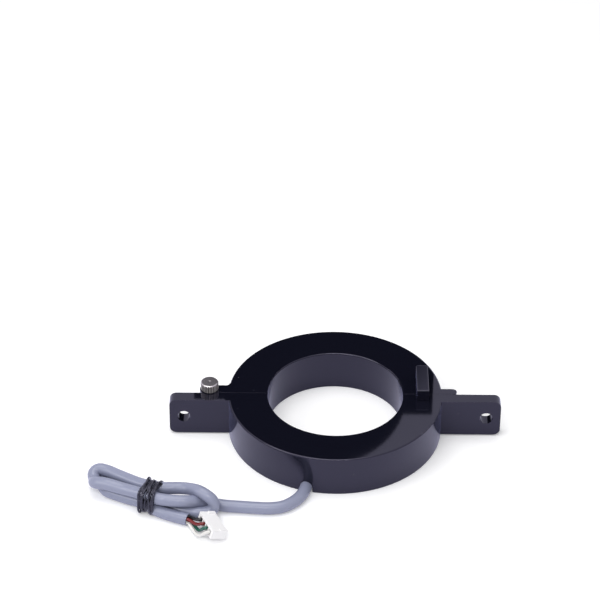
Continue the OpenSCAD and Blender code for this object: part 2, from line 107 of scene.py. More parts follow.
TAIL_RUN = [
    (-74.8, -45.1, 2.25), (-70.4, -47.2, 2.5), (-67, -49.6, 2.8), (-63, -52.6, 2.5), (-57.6, -55, 2.25),
    (-52.4, -57, 2.25),
]
CABLE_ROUTE = (LEAD_ROUTE + UPPER_FRONT_RUN + UPPER_LEFT_FOLD + UPPER_BACK_RUN + RIGHT_FOLD
               + LOWER_BACK_RUN + LOWER_LEFT_FOLD + TAIL_RUN)

# Spacing of the cable's rings, sides of each ring, and steps of a curve between two of its points.
CABLE_STEP = 0.8 * MM
CABLE_SIDES = 28
CURVE_STEPS = 24

# Where the jacket is kinked: place along the cable, reach of the kink and share of the radius
# that it takes away, or adds where the share is below zero, all lengths in millimetres.
JACKET_KINKS = [(84, 6, -0.05), (95, 2, 0.04), (146, 2, 0.05), (190, 2, 0.05)]

# The tie, on the neck of the hank: where it sits, the neck's half width and height, and how its
# strand runs. The sweep is the angle, in radians, that the strand's way to and fro goes through.
TIE_PLACE = (-65.7 * MM, -47.8 * MM, 5 * MM)
TIE_TURN = math.radians(-22)
TIE_HALF_WIDTH = 4.4 * MM
TIE_HALF_HEIGHT = 4.1 * MM
TIE_SQUARENESS = 0.78
TIE_WANDER = 2.8 * MM
TIE_SEED = 4.0
TIE_SWEEP = 17.0
TIE_FIRST_ANGLE = 2.2
TIE_POINTS_PER_TURN = 56
TIE_SIDES = 12
TIE_CLEARANCE = 0.02 * MM

# The connector's corner and pose, the cable's cut end and the wires' ways, as in the part's source,
# in millimetres.
HOUSING_AT = (-48.95, -57.75)
HOUSING_ANGLE = math.radians(25)
HOUSING_TILT = math.radians(20)
HOUSING_LIFT = 1.1
HOUSING_LENGTH = 5.8
TAIL_START = (-62.5, -52.6)
TAIL_END = TAIL_RUN[-1]
TAIL_ANGLE = math.atan2(TAIL_END[1] - TAIL_START[1], TAIL_END[0] - TAIL_START[0])
WAY_FIRST = 2.2
WAY_PITCH = 2.5
WAY_HEIGHT = 1.4
WIRE_STEP = 0.75
WIRE_BOW = 0.6
CRIMP_AT = 0.8

# How far a wire starts inside the jacket, in millimetres, and the spacing and sides of its skin.
WIRE_INSIDE = 1.1
WIRE_SPACING = 0.25 * MM
WIRE_SIDES = 14

# Each wire: its node, its slot, its tone beside the slot's colour, its place in the cut end in steps across
# and up, and the point that it passes over. The tone darkens the red and green wires as painted shade and
# lightens the white one.
WIRES = [
    ("black_wire", "black_insulation", 1.0, (1, 1), (-50.2, -58, 3.6)),
    ("red_wire", "red_insulation", 0.35, (-1, 1), (-49.2, -60.6, 3.2)),
    ("green_wire", "green_insulation", 0.6, (1.15, -1), (-48.4, -61.6, 1.4)),
    ("white_wire", "white_insulation", 1.15, (-1.15, -1), (-48.6, -64.6, 1.5)),
]

# The photograph's viewpoint.
CAMERA_PLACE = (-12.242 * MM, -738.244 * MM, 572.664 * MM)
CAMERA_TURN = tuple(math.radians(a) for a in (55.098, -0.316, 0.299))
SENSOR_WIDTH = 36.0

# The studio: the floor and the world as seen directly and as mirrored in gloss, and the floor's glow.
FLOOR_REACH = 4.0
FLOOR_LEVEL = -0.02 * MM
FLOOR_GLOW = 0.18
PAPER = (0.92, 0.92, 0.93)
PAPER_MIRRORED = (0.78, 0.77, 0.96)
WORLD = (1.0, 1.0, 1.0)
WORLD_MIRRORED = (0.88, 0.87, 1.02)

# Softboxes: name, the level that powers it, width, depth, place and the point that it faces, in metres.
SOFTBOXES = [
    ("top_softbox", "top_light", 0.5, 0.5, (-0.1, 0.05, 0.7), (0.0, 0.0, 0.0)),
    ("side_softbox", "side_light", 0.45, 0.45, (-0.65, -0.35, 0.5), (-0.02, -0.01, 0.0)),
    ("strip_softbox", "strip_light", 0.5, 0.04, (-0.1, -0.46, 0.54), (-0.05, -0.04, 0.0)),
]


def length_property(name, description, millimetres):
    """A length that the user may change, with its default in millimetres."""
    return FloatProperty(name=name, description=description, default=millimetres * MM, min=0.0,
                         unit="LENGTH", precision=5)


def colour_property(name, description, colour):
    """A colour that the user may change."""
    return FloatVectorProperty(name=name, description=description, default=colour, size=3,
                               subtype="COLOR", min=0.0, max=1.0)


class SensorSizes(bpy.types.PropertyGroup):
    """Sizes of the cable, the tie and the wires."""

    cable_diameter: length_property("Cable Diameter", "Outside diameter of the grey jacket", 4.4)
    jacket_wall: length_property("Jacket Wall", "Thickness of the jacket at its cut end", 0.55)
    wire_diameter: length_property("Wire Diameter", "Outside diameter of one insulated wire", 1.2)
    tie_strand: length_property("Tie Strand", "Diameter of the strand wound round the hank", 0.8)
    tie_width: length_property("Tie Width", "Width along the hank that the winding covers", 5.2)
    tie_turns: IntProperty(name="Tie Turns", description="Turns of the strand round the hank",
                           default=17, min=2, max=24)


class SensorColours(bpy.types.PropertyGroup):
    """Colours of the finishes."""

    case: colour_property("Case", "Black moulding of both ring halves", (0.0042, 0.0045, 0.0095))
    resin: colour_property("Resin", "Poured filling of both halves", (0.008, 0.008, 0.01))
    jacket: colour_property("Jacket", "Grey jacket of the cable", (0.252, 0.269, 0.373))
    tie: colour_property("Tie", "Wound black strand", (0.006, 0.006, 0.008))
    nylon: colour_property("Nylon", "White connector housing", (0.9, 0.89, 0.9))
    nickel: colour_property("Nickel", "Plating of the thumbscrew", (0.42, 0.395, 0.38))


class SensorStudio(bpy.types.PropertyGroup):
    """Levels of the studio's light."""

    lens: FloatProperty(name="Lens", description="Focal length of the camera", default=150.0, min=20.0,
                        unit="CAMERA")
    surround: FloatProperty(name="Surround", description="Light from all round", default=0.55, min=0.0)
    top_light: FloatProperty(name="Top Light", description="Power of the softbox above", default=2.0,
                             min=0.0, unit="POWER")
    side_light: FloatProperty(name="Side Light", description="Power of the softbox on the left", default=1.6,
                              min=0.0, unit="POWER")
    strip_light: FloatProperty(name="Strip Light", description="Power of the narrow strip in front",
                               default=1.25, min=0.0, unit="POWER")


def add_node(tree, kind, inputs=None, **settings):
    """Adds a node; inputs are values, or sockets to link from, by name or place."""
    made = tree.nodes.new(kind)
    for key, value in settings.items():
        setattr(made, key, value)
    for key, value in (inputs or {}).items():
        if isinstance(value, bpy.types.NodeSocket):
            tree.links.new(value, made.inputs[key])
        else:
            made.inputs[key].default_value = value
    return made


def calculate(tree, operation, first, second=0.0):
    """One step of arithmetic on values."""
    return add_node(tree, "ShaderNodeMath", {0: first, 1: second}, operation=operation).outputs[0]


def ramp(tree, value, start, end, low=0.0, high=1.0):
    """Maps a value smoothly from start..end to low..high."""
    return add_node(tree, "ShaderNodeMapRange",
                    {"Value": value, "From Min": start, "From Max": end, "To Min": low, "To Max": high},
                    interpolation_type="SMOOTHSTEP").outputs["Result"]


def blend_values(tree, share, first, second):
    """Goes from the first value to the second as share goes from 0 to 1."""
    return add_node(tree, "ShaderNodeMix", {"Factor": share, "A": first, "B": second},
                    data_type="FLOAT").outputs[0]


def blend_colours(tree, share, first, second):
    """Goes from the first colour to the second as share goes from 0 to 1."""
    made = add_node(tree, "ShaderNodeMix", data_type="RGBA")
    for place, value in ((0, share), (6, first), (7, second)):
        if isinstance(value, bpy.types.NodeSocket):
            tree.links.new(value, made.inputs[place])
        else:
            made.inputs[place].default_value = value if place == 0 else (*value, 1.0)
    return made.outputs[2]


def noise(tree, vector, scale, detail):
    """A cloudy value over the surface."""
    return add_node(tree, "ShaderNodeTexNoise",
                    {"Vector": vector, "Scale": scale, "Detail": detail}).outputs[0]


def rounded_edges(tree, radius):
    """A normal that rounds the shape's edges off."""
    return add_node(tree, "ShaderNodeBevel", {"Radius": radius}, samples=6).outputs[0]


def shaded(colour, share):
    """A colour made darker or lighter by a share."""
    return tuple(share * c for c in colour)


def effect_group(name, inputs, outputs):
    """An empty shader group with its sockets; returns the tree, its inputs by name and its outlet."""
    tree = bpy.data.node_groups.new(name, "ShaderNodeTree")
    tree.interface.new_socket("Vector", in_out="INPUT", socket_type="NodeSocketVector")
    for socket_name, value in inputs:
        socket = tree.interface.new_socket(socket_name, in_out="INPUT", socket_type="NodeSocketFloat")
        socket.default_value = value
    for socket_name in outputs:
        tree.interface.new_socket(socket_name, in_out="OUTPUT", socket_type="NodeSocketFloat")
    entry = tree.nodes.new("NodeGroupInput")
    outlet = tree.nodes.new("NodeGroupOutput")
    return tree, entry.outputs, outlet.inputs


def moulded_grain_group():
    """Fine grain of a moulded or extruded surface: a roughness between two values, and its height."""
    tree, given, out = effect_group("Moulded Grain", [("Scale", 2500.0), ("Low", 0.2), ("High", 0.4)],
                                    ["Roughness", "Height"])
    fine = noise(tree, given["Vector"], given["Scale"], 3.0)
    broad_scale = calculate(tree, "MULTIPLY", given["Scale"], 0.04)
    broad = noise(tree, given["Vector"], broad_scale, 2.0)
    both = blend_values(tree, 0.6, fine, broad)
    tree.links.new(ramp(tree, both, 0.32, 0.68, given["Low"], given["High"]), out["Roughness"])
    tree.links.new(fine, out["Height"])
    return tree


def dust_group():
    """A few specks of dust: 1 on a speck and 0 elsewhere."""
    tree, given, out = effect_group("Dust Specks", [("Scale", 260.0), ("Speck", 0.05), ("Share", 0.2)],
                                    ["Mask"])
    cells = add_node(tree, "ShaderNodeTexVoronoi", {"Vector": given["Vector"], "Scale": given["Scale"]})
    near = calculate(tree, "LESS_THAN", cells.outputs["Distance"], given["Speck"])
    lot = add_node(tree, "ShaderNodeSeparateColor", {0: cells.outputs["Color"]}).outputs[0]
    chosen = calculate(tree, "LESS_THAN", lot, given["Share"])
    tree.links.new(calculate(tree, "MULTIPLY", near, chosen), out["Mask"])
    return tree


def turned_lines_group():
    """Concentric tool marks round the local Z axis: their height and a value that varies with them."""
    tree, given, out = effect_group("Turned Lines", [("Spacing", 0.0002), ("Waver", 0.3)], ["Height", "Tone"])
    flat = add_node(tree, "ShaderNodeVectorMath", {0: given["Vector"], 1: (1.0, 1.0, 0.0)},
                    operation="MULTIPLY").outputs[0]
    radius = add_node(tree, "ShaderNodeVectorMath", {0: flat}, operation="LENGTH").outputs["Value"]
    turns = calculate(tree, "DIVIDE", radius, given["Spacing"])
    shake = noise(tree, given["Vector"], 900.0, 2.0)
    phase = calculate(tree, "ADD", turns, calculate(tree, "MULTIPLY", shake, given["Waver"]))
    wave = calculate(tree, "SINE", calculate(tree, "MULTIPLY", phase, math.tau))
    tree.links.new(wave, out["Height"])
    tree.links.new(ramp(tree, wave, -1.0, 1.0), out["Tone"])
    return tree


def shared_group(maker, name):
    """The named shader group, made the first time it is asked for."""
    return bpy.data.node_groups.get(name) or maker()


def place_group(tree, maker, name, vector, **values):
    """Puts a shared effect into a material with its own values."""
    made = add_node(tree, "ShaderNodeGroup", node_tree=shared_group(maker, name))
    tree.links.new(vector, made.inputs["Vector"])
    for key, value in values.items():
        made.inputs[key.replace("_", " ").title()].default_value = value
    return made.outputs


def grain(tree, vector, **values):
    """Places the moulded grain in a material."""
    return place_group(tree, moulded_grain_group, "Moulded Grain", vector, **values)


def dust(tree, vector, **values):
    """Places the specks in a material."""
    return place_group(tree, dust_group, "Dust Specks", vector, **values)


def turned_lines(tree, vector, **values):
    """Places the tool marks in a material."""
    return place_group(tree, turned_lines_group, "Turned Lines", vector, **values)


def plain_material(name):
    """A new material; returns it, its tree and its shader."""
    material = bpy.data.materials.new(name)
    material.use_nodes = True
    return material, material.node_tree, material.node_tree.nodes["Principled BSDF"]


def start_material(name, centre=None):
    """A new material; returns it, its tree, its shader and object coordinates, about a centre if given."""
    material, tree, shader = plain_material(name)
    place = add_node(tree, "ShaderNodeTexCoord").outputs["Object"]
    if centre is not None:
        place = add_node(tree, "ShaderNodeMapping", {"Vector": place, "Location": tuple(-c for c in centre)},
                         vector_type="POINT").outputs[0]
    return material, tree, shader, place


def set_values(shader, **values):
    """Sets plain numbers and colours on a shader's own sockets."""
    for key, value in values.items():
        socket = shader.inputs[key.replace("_", " ")]
        socket.default_value = (*value, 1.0) if isinstance(value, tuple) else value


def link_bump(tree, shader, height, strength, depth, under=None):
    """Raises the shader's surface by a height pattern, over another normal if given."""
    inputs = {"Height": height, "Strength": strength, "Distance": depth}
    if under is not None:
        inputs["Normal"] = under
    tree.links.new(add_node(tree, "ShaderNodeBump", inputs).outputs[0], shader.inputs["Normal"])


def finger_edge_highlight_mask(tree, spread):
    """1 along the edges of the finger's top, where a painted highlight goes, and 0 elsewhere."""
    inset = []
    for axis, middle, half in zip((spread["X"], spread["Y"]), FINGER_MIDDLE, FINGER_HALF):
        away = calculate(tree, "ABSOLUTE", calculate(tree, "SUBTRACT", axis, middle))
        inset.append(calculate(tree, "SUBTRACT", half, away))
    rim = ramp(tree, calculate(tree, "MINIMUM", *inset), 0.1 * MM, 0.35 * MM, 1.0, 0.0)
    top = ramp(tree, spread["Z"], FINGER_TOP - 0.6 * MM, FINGER_TOP - 0.4 * MM)
    return calculate(tree, "MULTIPLY", rim, top)


def case_material():
    """Black moulding: polished top face, satin walls, rounded edges, a painted highlight along the edges of
    the finger's top and a few specks of dust.
    """
    colours = bpy.context.scene.sensor_colours
    material, tree, shader, place = start_material("case_plastic")
    spread = add_node(tree, "ShaderNodeSeparateXYZ", {0: place}).outputs
    height = spread["Z"]
    above = ramp(tree, height, RING_TOP - 0.35 * MM, RING_TOP - 0.1 * MM)
    below = ramp(tree, height, RING_TOP + 0.2 * MM, RING_TOP + 0.4 * MM, 1.0, 0.0)
    polished = calculate(tree, "MULTIPLY", above, below)
    finger = calculate(tree, "SUBTRACT", 1.0, below)
    finger_top = ramp(tree, height, FINGER_TOP - 0.5 * MM, FINGER_TOP - 0.3 * MM)
    satin = grain(tree, place, scale=2200.0, low=0.1, high=0.2)
    gloss = grain(tree, place, scale=900.0, low=0.03, high=0.07)
    roughness = blend_values(tree, polished, satin["Roughness"], gloss["Roughness"])
    roughness = blend_values(tree, finger, roughness, gloss["Roughness"])
    roughness = blend_values(tree, finger_top, roughness, 0.3)
    black = blend_colours(tree, polished, tuple(colours.case), shaded(colours.case, 0.85))
    # Painted highlight: the edges of the finger's top are made lighter.
    black = blend_colours(tree, finger_edge_highlight_mask(tree, spread), black, (0.05, 0.05, 0.062))
    specks = dust(tree, place, scale=330.0, speck=0.045, share=0.16)["Mask"]
    tree.links.new(blend_colours(tree, specks, black, (0.12, 0.12, 0.13)),
                   shader.inputs["Base Color"])
    tree.links.new(blend_values(tree, specks, roughness, 0.6), shader.inputs["Roughness"])
    set_values(shader, Specular_IOR_Level=0.58, Specular_Tint=(0.82, 0.78, 1.0), Sheen_Weight=0.15,
               Sheen_Roughness=0.35, Sheen_Tint=(0.48, 0.5, 0.95))
    edge = blend_values(tree, finger, 0.08 * MM, 0.28 * MM)
    rounded = rounded_edges(tree, edge)
    rough_height = blend_values(tree, polished, satin["Height"], 0.5)
    link_bump(tree, shader, rough_height, 0.25, 0.02 * MM, rounded)
    return material


def resin_material():
    """Poured black filling, with a slow swell and pinholes where bubbles broke."""
    colours = bpy.context.scene.sensor_colours
    material, tree, shader, place = start_material("potting_resin")
    swell = noise(tree, place, 120.0, 2.0)
    holes = dust(tree, place, scale=420.0, speck=0.12, share=0.12)["Mask"]
    tree.links.new(blend_colours(tree, swell, tuple(colours.resin), (0.016, 0.016, 0.019)),
                   shader.inputs["Base Color"])
    tree.links.new(ramp(tree, swell, 0.3, 0.7, 0.12, 0.3), shader.inputs["Roughness"])
    link_bump(tree, shader, calculate(tree, "SUBTRACT", swell, holes), 0.5, 0.25 * MM)
    return material


def steel_strip_material():
    """Wound magnetic strip: fine dark and bright layers round the ring's axis."""
    material, tree, shader, place = start_material("core_steel")
    layers = turned_lines(tree, place, spacing=0.3 * MM, waver=0.1)
    tree.links.new(blend_colours(tree, layers["Tone"], (0.12, 0.12, 0.13), (0.4, 0.4, 0.42)),
                   shader.inputs["Base Color"])
    tree.links.new(ramp(tree, layers["Tone"], 0.0, 1.0, 0.5, 0.3), shader.inputs["Roughness"])
    set_values(shader, Metallic=1.0)
    link_bump(tree, shader, layers["Height"], 0.4, 0.03 * MM)
    return material


def turned_metal_material(name, dark, bright, spacing, rough, centre):
    """Turned or drawn metal: tool marks round an axis, with duller and brighter patches."""
    material, tree, shader, place = start_material(name, centre)
    marks = turned_lines(tree, place, spacing=spacing, waver=0.5)
    patches = grain(tree, place, scale=2600.0, low=rough[0], high=rough[1])
    tone = blend_values(tree, 0.45, patches["Height"], marks["Tone"])
    tree.links.new(blend_colours(tree, tone, dark, bright), shader.inputs["Base Color"])
    tree.links.new(patches["Roughness"], shader.inputs["Roughness"])
    set_values(shader, Metallic=1.0)
    rounded = rounded_edges(tree, 0.06 * MM)
    link_bump(tree, shader, marks["Height"], 0.25, 0.012 * MM, rounded)
    return material


def knurled_head_material():
    """Dull nickel head: faint rings on a top darkened as painted shade, a rim lightened as painted highlight,
    and ribs painted light with grooves painted dark as shade round it.
    """
    nickel = tuple(bpy.context.scene.sensor_colours.nickel)
    material, tree, shader, place = start_material("nickel_plate", SCREW_AXIS)
    spread = add_node(tree, "ShaderNodeSeparateXYZ", {0: place}).outputs
    top = SCREW_HIGH.z - SCREW_AXIS.z
    level = add_node(tree, "ShaderNodeCombineXYZ", {0: spread["X"], 1: spread["Y"]}).outputs[0]
    radius = add_node(tree, "ShaderNodeVectorMath", {0: level}, operation="LENGTH").outputs["Value"]
    flat = ramp(tree, radius, HEAD_FLAT - 0.1 * MM, HEAD_FLAT, 1.0, 0.0)
    side = ramp(tree, spread["Z"], top - 0.4 * MM, top - 0.34 * MM, 1.0, 0.0)
    turn = calculate(tree, "ARCTAN2", spread["Y"], spread["X"])
    # Where the ribs and grooves lie round the head, for their painted highlight and painted shade.
    ribs = ramp(tree, calculate(tree, "COSINE", calculate(tree, "MULTIPLY", turn, HEAD_RIBS)), -0.3, 0.9)
    marks = turned_lines(tree, place, spacing=0.6 * MM, waver=0.2)
    surface = grain(tree, place, scale=2600.0, low=0.26, high=0.42)
    # Painted shade: the flat top is darkened well below the nickel, with its tool rings.
    top_rings_painted_shade = blend_colours(tree, marks["Tone"], shaded(nickel, 0.32), shaded(nickel, 0.72))
    # Painted highlight and painted shade: the ribs are lightened above the nickel and the grooves darkened
    # nearly to black.
    ribs_painted_highlight_and_shade = blend_colours(tree, ribs, shaded(nickel, 0.05), shaded(nickel, 1.9))
    # Painted highlight: the rim round the flat top is lightened.
    colour = blend_colours(tree, flat, shaded(nickel, 1.4), top_rings_painted_shade)
    tree.links.new(blend_colours(tree, side, colour, ribs_painted_highlight_and_shade), shader.inputs["Base Color"])
    tree.links.new(surface["Roughness"], shader.inputs["Roughness"])
    tree.links.new(blend_values(tree, side, 1.0, 0.6), shader.inputs["Metallic"])
    rounded = rounded_edges(tree, 0.06 * MM)
    link_bump(tree, shader, marks["Height"], 0.15, 0.012 * MM, rounded)
    return material


def moulded_material(name, base, shade, scale, rough, depth):
    """A plain moulding or coating with fine grain and slightly uneven colour."""
    material, tree, shader, place = start_material(name)
    surface = grain(tree, place, scale=scale, low=rough[0], high=rough[1])
    cloud = noise(tree, place, 90.0, 3.0)
    tree.links.new(blend_colours(tree, cloud, base, shade), shader.inputs["Base Color"])
    tree.links.new(surface["Roughness"], shader.inputs["Roughness"])
    rounded = rounded_edges(tree, 0.12 * MM)
    link_bump(tree, shader, surface["Height"], 0.3, depth, rounded)
    return material


def jacket_material():
    """Soft grey jacket: satin, with faint extrusion lines along it and a little handling dirt."""
    colours = bpy.context.scene.sensor_colours
    base = tuple(colours.jacket)
    material, tree, shader, place = start_material("cable_jacket")
    along = add_node(tree, "ShaderNodeUVMap", uv_map="jacket").outputs[0]
    drawn = add_node(tree, "ShaderNodeMapping", {"Vector": along, "Scale": (42.0, 30.0, 1.0)}).outputs[0]
    lines = noise(tree, drawn, 1.0, 2.0)
    surface = grain(tree, place, scale=1900.0, low=0.12, high=0.22)
    dirt = noise(tree, place, 140.0, 4.0)
    clean = blend_colours(tree, lines, shaded(base, 0.94), shaded(base, 1.05))
    soiled = calculate(tree, "MULTIPLY", ramp(tree, dirt, 0.55, 0.8), 0.35)
    tree.links.new(blend_colours(tree, soiled, clean, shaded(base, 0.72)), shader.inputs["Base Color"])
    tree.links.new(surface["Roughness"], shader.inputs["Roughness"])
    link_bump(tree, shader, blend_values(tree, 0.35, surface["Height"], lines), 0.2, 0.03 * MM)
    return material


def finish_nodes(material, *slots):
    """Gives a material to every shown CAD node of these slots."""
    for part in frame["record"]["subparts"]:
        if part["material_slot"] in slots:
            mesh = frame["nodes"][part["node"]].data
            mesh.materials.clear()
            mesh.materials.append(material)


def new_piece(name, mesh):
    """A piece at the origin, with its place in its mesh."""
    piece = bpy.data.objects.new(name, mesh)
    bpy.context.scene.collection.objects.link(piece)
    return piece


def smooth_route(points, step):
    """Points at equal steps, in metres, on a smooth curve through points given in millimetres."""
    through = [Vector(p) * MM for p in points]
    through = [2 * through[0] - through[1], *through, 2 * through[-1] - through[-2]]
    curve = []
    for a, b, c, d in zip(through, through[1:], through[2:], through[3:]):
        knots = [0.0]
        for p, q in ((a, b), (b, c), (c, d)):
            knots.append(knots[-1] + math.sqrt((q - p).length))
        t0, t1, t2, t3 = knots
        for k in range(CURVE_STEPS):
            t = t1 + (t2 - t1) * k / CURVE_STEPS
            ab = a.lerp(b, (t - t0) / (t1 - t0))
            bc = b.lerp(c, (t - t1) / (t2 - t1))
            cd = c.lerp(d, (t - t2) / (t3 - t2))
            abc = ab.lerp(bc, (t - t0) / (t2 - t0))
            bcd = bc.lerp(cd, (t - t1) / (t3 - t1))
            curve.append(abc.lerp(bcd, (t - t1) / (t2 - t1)))
    curve.append(through[-2])
    spaced, left = [curve[0]], step
    for p, q in zip(curve, curve[1:]):
        span, done = (q - p).length, 0.0
        while span - done >= left:
            done += left
            spaced.append(p.lerp(q, done / span))
            left = step
        left -= span - done
    if (spaced[-1] - curve[-1]).length > 0.3 * step:
        spaced.append(curve[-1])
    else:
        spaced[-1] = curve[-1]
    return spaced


def frames_along(centres):
    """For each point the direction along the line and two directions across it, without twist."""
    count = len(centres)
    across = Vector((0, 0, 1))
    result = []
    for i in range(count):
        along = (centres[min(i + 1, count - 1)] - centres[max(i - 1, 0)]).normalized()
        across = (across - along * across.dot(along)).normalized()
        result.append((along, across, along.cross(across)))
    return result


def tube_mesh(name, rings, sides, uv_name):
    """Skins rings given as (centre, across, up, radius, distance along), closed at both ends."""
    mesh = bpy.data.meshes.new(name)
    made = bmesh.new()
    uv = made.loops.layers.uv.new(uv_name)
    turns = [math.tau * k / sides for k in range(sides)]
    rows = [[made.verts.new(c + r * (math.cos(t) * a + math.sin(t) * b)) for t in turns]
            for c, a, b, r, _ in rings]
    for (low, high), (start, end) in zip(zip(rows, rows[1:]), zip(rings, rings[1:])):
        for k in range(sides):
            face = made.faces.new((low[k], low[(k + 1) % sides], high[(k + 1) % sides], high[k]))
            corners = ((k, start[4]), (k + 1, start[4]), (k + 1, end[4]), (k, end[4]))
            for loop, (turn, distance) in zip(face.loops, corners):
                loop[uv].uv = (turn / sides, distance)
            face.smooth = True
    made.faces.new(tuple(reversed(rows[0])))
    made.faces.new(tuple(rows[-1]))
    bmesh.ops.recalc_face_normals(made, faces=made.faces)
    made.to_mesh(mesh)
    made.free()
    return mesh


def geometry_tree(name, inputs):
    """An empty geometry tree with its sockets; returns the tree, its inputs by name and its outlet."""
    tree = bpy.data.node_groups.new(name, "GeometryNodeTree")
    tree.interface.new_socket("Geometry", in_out="INPUT", socket_type="NodeSocketGeometry")
    for socket_name, kind in inputs:
        tree.interface.new_socket(socket_name, in_out="INPUT", socket_type=kind)
    tree.interface.new_socket("Geometry", in_out="OUTPUT", socket_type="NodeSocketGeometry")
    return tree, tree.nodes.new("NodeGroupInput").outputs, tree.nodes.new("NodeGroupOutput").inputs


def round_skin(tree, curve, diameter, sides, material, outlet):
    """Ends a geometry tree: a round skin along a curve, smooth, realized and with its material."""
    radius = calculate(tree, "MULTIPLY", diameter, 0.5)
    ring = add_node(tree, "GeometryNodeCurvePrimitiveCircle", {"Resolution": sides, "Radius": radius})
    skin = add_node(tree, "GeometryNodeCurveToMesh",
                    {"Curve": curve, "Profile Curve": ring.outputs["Curve"], "Fill Caps": True})
    smooth = add_node(tree, "GeometryNodeSetShadeSmooth", {"Geometry": skin.outputs[0]})
    plain = add_node(tree, "GeometryNodeRealizeInstances", {"Geometry": smooth.outputs[0]})
    painted = add_node(tree, "GeometryNodeSetMaterial",
                       {"Geometry": plain.outputs[0], "Material": material})
    tree.links.new(painted.outputs[0], outlet["Geometry"])


def wire_tree():
    """Geometry tree that skins a line of edges as one insulated wire."""
    tree, given, outlet = geometry_tree("Insulated Wire", [("Wire Diameter", "NodeSocketFloat"),
                                                           ("Material", "NodeSocketMaterial")])
    line = add_node(tree, "GeometryNodeMeshToCurve", {"Mesh": given["Geometry"]})
    round_skin(tree, line.outputs[0], given["Wire Diameter"], WIRE_SIDES, given["Material"], outlet)
    return tree


def rounded_wave(tree, wave, power):
    """A sine or cosine squared off towards its peaks, so that a circle becomes a rounded square."""
    size = calculate(tree, "POWER", calculate(tree, "ABSOLUTE", wave), power)
    return calculate(tree, "MULTIPLY", calculate(tree, "SIGN", wave), size)


def strand_noise(tree, share, rate, seed):
    """A value that changes along the strand, as often over its length as the rate says."""
    place = calculate(tree, "ADD", calculate(tree, "MULTIPLY", share, rate), seed)
    return add_node(tree, "ShaderNodeTexNoise", {"W": place, "Scale": 1.0, "Detail": 1.0},
                    noise_dimensions="1D").outputs[0]


def tie_tree():
    """Geometry tree that winds a strand round the hank's neck, to and fro, the later turns on top."""
    tree, given, outlet = geometry_tree("Wound Tie", [
        ("Turns", "NodeSocketInt"), ("Strand Diameter", "NodeSocketFloat"), ("Band Width", "NodeSocketFloat"),
        ("Half Width", "NodeSocketFloat"), ("Half Height", "NodeSocketFloat"),
        ("Squareness", "NodeSocketFloat"), ("Wander", "NodeSocketFloat"), ("Seed", "NodeSocketFloat"),
        ("Place", "NodeSocketVector"), ("Turn", "NodeSocketVector"), ("Floor", "NodeSocketFloat"),
        ("Material", "NodeSocketMaterial")])
    line = add_node(tree, "GeometryNodeCurvePrimitiveLine", {"End": (1.0, 0.0, 0.0)})
    count = calculate(tree, "MULTIPLY", given["Turns"], TIE_POINTS_PER_TURN)
    dense = add_node(tree, "GeometryNodeResampleCurve", {"Curve": line.outputs[0], "Count": count})
    share = add_node(tree, "GeometryNodeSplineParameter").outputs["Factor"]
    angle = calculate(tree, "MULTIPLY", calculate(tree, "MULTIPLY", share, given["Turns"]), math.tau)
    angle = calculate(tree, "ADD", angle, TIE_FIRST_ANGLE)
    drift = strand_noise(tree, share, 23.0, given["Seed"])
    drift = calculate(tree, "MULTIPLY", calculate(tree, "SUBTRACT", drift, 0.5), given["Wander"])
    sweep = calculate(tree, "MULTIPLY", calculate(tree, "SUBTRACT", share, 0.5), TIE_SWEEP)
    half_band = calculate(tree, "MULTIPLY", given["Band Width"], 0.5)
    along = calculate(tree, "MULTIPLY", calculate(tree, "SINE", sweep), half_band)
    along = calculate(tree, "ADD", along, drift)
    heap = strand_noise(tree, share, 61.0, given["Seed"])
    heap = calculate(tree, "ADD", ramp(tree, heap, 0.4, 0.75), ramp(tree, share, 0.3, 0.75, 0.0, 0.6))
    lift = calculate(tree, "MULTIPLY", heap, given["Strand Diameter"])
    wide = calculate(tree, "ADD", given["Half Width"], lift)
    high = calculate(tree, "ADD", given["Half Height"], lift)
    across = calculate(tree, "MULTIPLY", wide,
                       rounded_wave(tree, calculate(tree, "COSINE", angle), given["Squareness"]))
    up = calculate(tree, "MULTIPLY", high,
                   rounded_wave(tree, calculate(tree, "SINE", angle), given["Squareness"]))
    up = calculate(tree, "MAXIMUM", up, given["Floor"])
    wound = add_node(tree, "ShaderNodeCombineXYZ", {0: along, 1: across, 2: up}).outputs[0]
    strand = add_node(tree, "GeometryNodeSetPosition", {"Geometry": dense.outputs[0], "Position": wound})
    placed = add_node(tree, "GeometryNodeTransform", {
        "Geometry": strand.outputs[0], "Translation": given["Place"], "Rotation": given["Turn"]})
    round_skin(tree, placed.outputs[0], given["Strand Diameter"], TIE_SIDES, given["Material"], outlet)
    return tree


def grow(name, mesh, tree, values):
    """Runs a geometry tree on a mesh and returns the finished piece as a plain mesh."""
    piece = new_piece(name, mesh)
    modifier = piece.modifiers.new("Build", "NODES")
    modifier.node_group = tree
    for item in tree.interface.items_tree:
        if item.in_out == "INPUT" and item.name in values:
            modifier[item.identifier] = values[item.name]
    bpy.context.view_layer.update()
    depsgraph = bpy.context.evaluated_depsgraph_get()
    plain = bpy.data.meshes.new_from_object(piece.evaluated_get(depsgraph))
    piece.modifiers.remove(modifier)
    piece.data = plain
    if not plain.polygons:
        raise RuntimeError(f"{name} came out empty")
    return piece


def seen_rays(tree):
    """Two masks: rays from the camera, from gloss and through glass, and rays from gloss alone."""
    rays = add_node(tree, "ShaderNodeLightPath").outputs
    direct = calculate(tree, "MAXIMUM", rays["Is Camera Ray"], rays["Is Glossy Ray"])
    return calculate(tree, "MAXIMUM", direct, rays["Is Transmission Ray"]), rays["Is Glossy Ray"]


